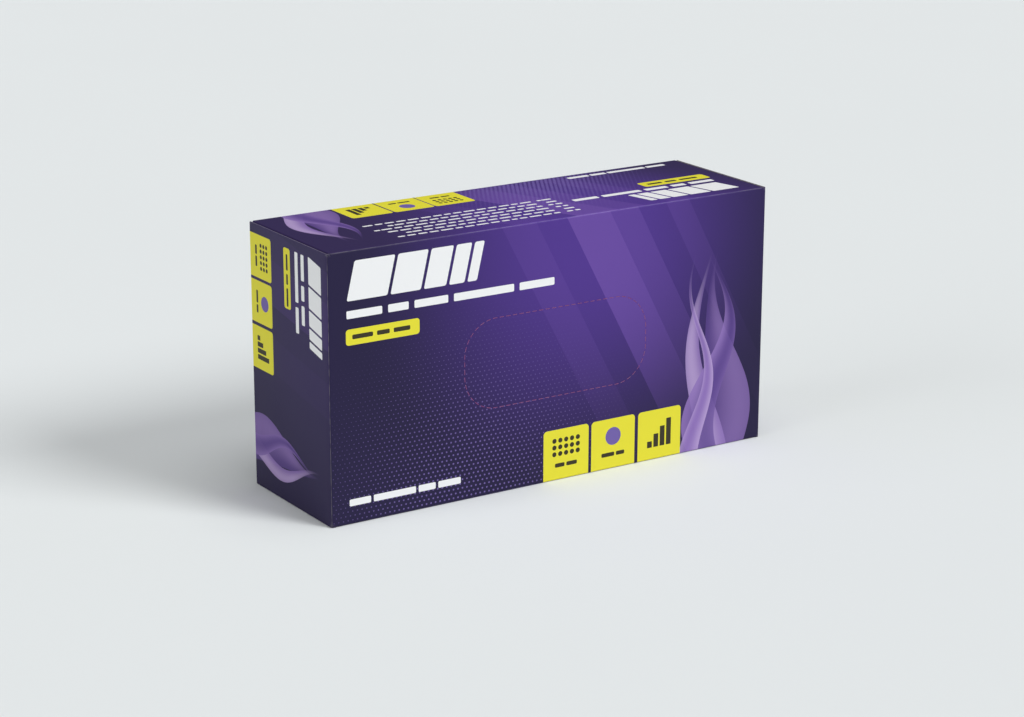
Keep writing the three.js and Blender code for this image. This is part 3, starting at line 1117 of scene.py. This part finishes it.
class CARTON_OT_stage(Operator):
    """Add the pale floor, the soft light and the camera"""

    bl_idname = "carton.stage"
    bl_label = "Stage"

    def execute(self, context):
        scene = context.scene
        stage = scene.carton_stage
        self.add_floor(stage)
        self.add_sky(scene, stage)
        self.add_lamp(scene, "key", stage.key, azimuth=30, elevation=35, spread=24)
        self.add_lamp(scene, "overhead", stage.overhead, azimuth=15, elevation=80, spread=42)
        self.add_lamp(scene, "fill", stage.fill, azimuth=-90, elevation=15, spread=42)
        self.add_camera(scene, stage)
        scene.view_settings.view_transform = "Standard"
        return {"FINISHED"}

    @staticmethod
    def add_floor(stage):
        bm = bmesh.new()
        bmesh.ops.create_circle(bm, cap_ends=True, segments=96, radius=14.0)
        ink = Ink("floor")
        darker = [0.985 * value for value in stage.floor_colour]
        colour = ink.mix(ink.noise(ink.object_place(), 3.0), stage.floor_colour, darker)
        floor = piece_from(bm, "floor", [ink.finish(colour, roughness=0.9, normal=None, gloss=0.0)])

    @staticmethod
    def add_sky(scene, stage):
        """Even light from all round, with the backdrop's colour where the camera sees past the floor."""
        world = bpy.data.worlds.new("sky")
        world.use_nodes = True
        scene.world = world
        nodes = Nodes(world.node_tree)
        even = {"Color": (0.985, 1.0, 1.01, 1), "Strength": stage.sky}
        light = nodes.node("ShaderNodeBackground", {}, even)
        seen = nodes.node("ShaderNodeBackground", {}, {"Color": opaque(stage.backdrop)})
        to_camera = nodes.node("ShaderNodeLightPath", {}, (), "Is Camera Ray")
        both = nodes.node("ShaderNodeMixShader", {}, [to_camera, light, seen])
        nodes.node("ShaderNodeOutputWorld", {}, {"Surface": both})

    @staticmethod
    def add_lamp(scene, name, strength, azimuth, elevation, spread):
        """A far soft light, with its place and spread in degrees."""
        lamp = bpy.data.lights.new(name, "SUN")
        lamp.energy = strength
        lamp.angle = math.radians(spread)
        holder = bpy.data.objects.new(name, lamp)
        towards = direction(math.radians(azimuth), math.radians(elevation))
        holder.rotation_euler = towards.to_track_quat("Z", "Y").to_euler()
        holder.location = 2 * towards
        scene.collection.objects.link(holder)

    @staticmethod
    def add_camera(scene, stage):
        camera = bpy.data.cameras.new("camera")
        camera.lens = stage.lens
        camera.sensor_width = 36.0
        camera.clip_end = 100.0
        holder = bpy.data.objects.new("camera", camera)
        away = direction(-stage.azimuth, stage.elevation)
        holder.location = Vector(stage.target) + away * stage.distance
        turned = away.to_track_quat("Z", "Y") @ Matrix.Rotation(stage.roll, 3, "Z").to_quaternion()
        holder.rotation_euler = turned.to_euler()
        scene.collection.objects.link(holder)
        scene.camera = holder


class CARTON_PT_sidebar(Panel):
    """The carton's pieces and settings"""

    bl_idname = "CARTON_PT_sidebar"
    bl_label = "Glove carton"
    bl_space_type = "VIEW_3D"
    bl_region_type = "UI"
    bl_category = "Carton"

    def draw(self, context):
        for operator in OPERATORS:
            self.layout.operator(operator.bl_idname)
        for group in GROUPS:
            settings = getattr(context.scene, group)
            box = self.layout.box()
            for name in settings.bl_rna.properties.keys():
                if name not in ("rna_type", "name"):
                    box.prop(settings, name)


GROUPS = {
    "carton_board": CartonBoardSettings,
    "carton_opening": CartonOpeningSettings,
    "carton_inks": CartonInkSettings,
    "carton_stage": CartonStageSettings,
}
OPERATORS = (CARTON_OT_stage, CARTON_OT_sleeve, CARTON_OT_tear_out_panel, CARTON_OT_end_flaps)
CLASSES = (*GROUPS.values(), *OPERATORS, CARTON_PT_sidebar)


def register():
    for kind in CLASSES:
        bpy.utils.register_class(kind)
    for name, group in GROUPS.items():
        setattr(bpy.types.Scene, name, PointerProperty(type=group))


def unregister():
    for name in GROUPS:
        delattr(bpy.types.Scene, name)
    for kind in reversed(CLASSES):
        bpy.utils.unregister_class(kind)


def main():
    register()
    bpy.ops.carton.stage()
    bpy.ops.carton.sleeve()
    bpy.ops.carton.tear_out_panel()
    bpy.ops.carton.end_flaps()


if __name__ == "__main__":
    main()
